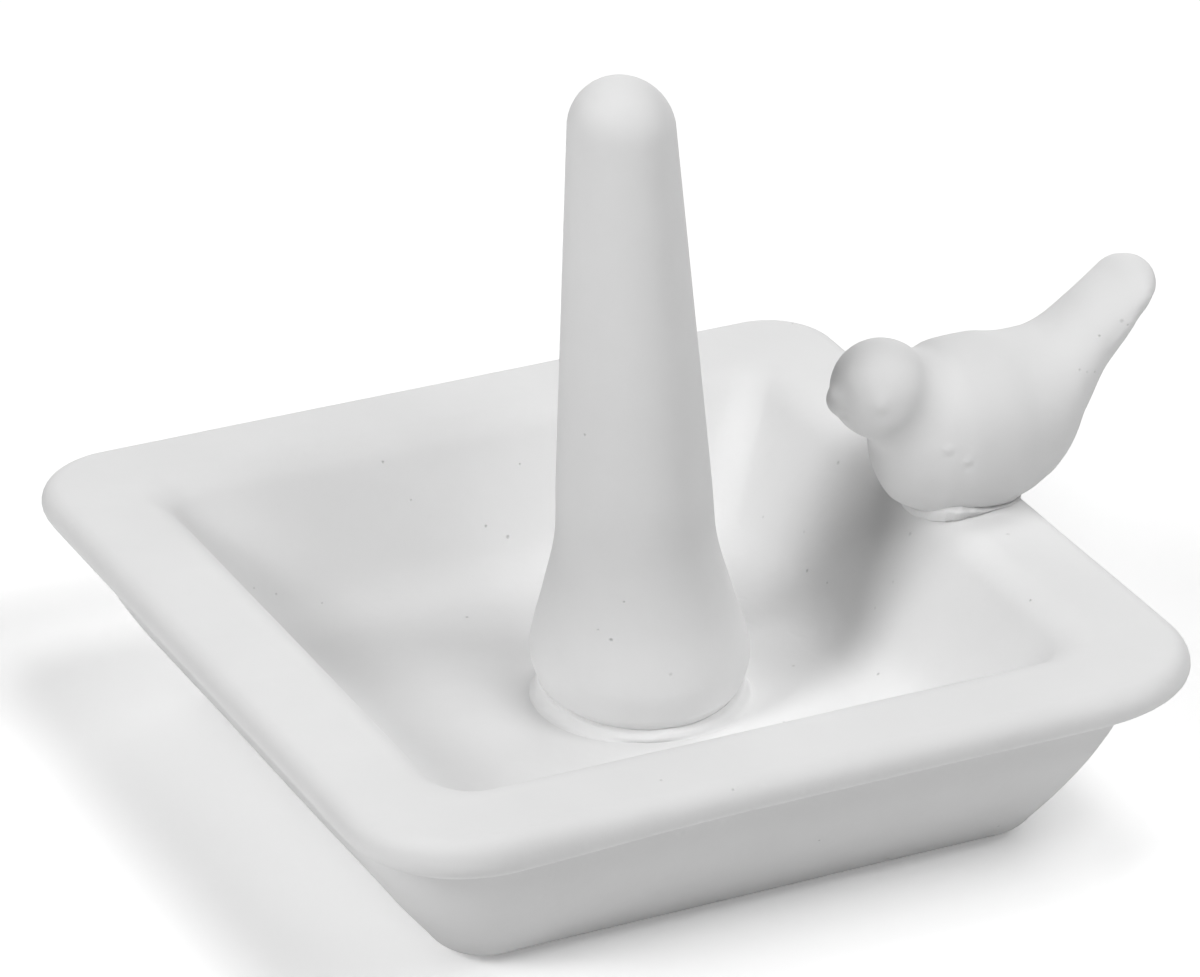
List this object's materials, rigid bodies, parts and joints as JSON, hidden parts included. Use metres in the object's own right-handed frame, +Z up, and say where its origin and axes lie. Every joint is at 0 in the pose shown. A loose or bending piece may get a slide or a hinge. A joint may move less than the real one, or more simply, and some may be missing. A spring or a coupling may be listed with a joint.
{
  "type": "ring holder",
  "caption": "Square ceramic ring dish with sloping walls, a broad rounded rim, an upright tapered ring post and a small bird on the rim.",
  "frame": {"origin": "middle of the flat underside of the dish, on the surface that the dish stands on", "axes": "+Z up along the height of the post; +X from the middle of the dish towards the rim that carries the bird, whose beak points along -X; +Y along that rim"},
  "size_m": [0.119, 0.1026, 0.0846],
  "materials": {
    "bisque": "matte",
    "joining_slip": "matte"
  },
  "bodies": {
    "root": {"dish": "bisque", "ring_post": "bisque", "post_slip_joint": "joining_slip", "bird": "bisque", "bird_slip_joint": "joining_slip"}
  },
  "joints": []
}
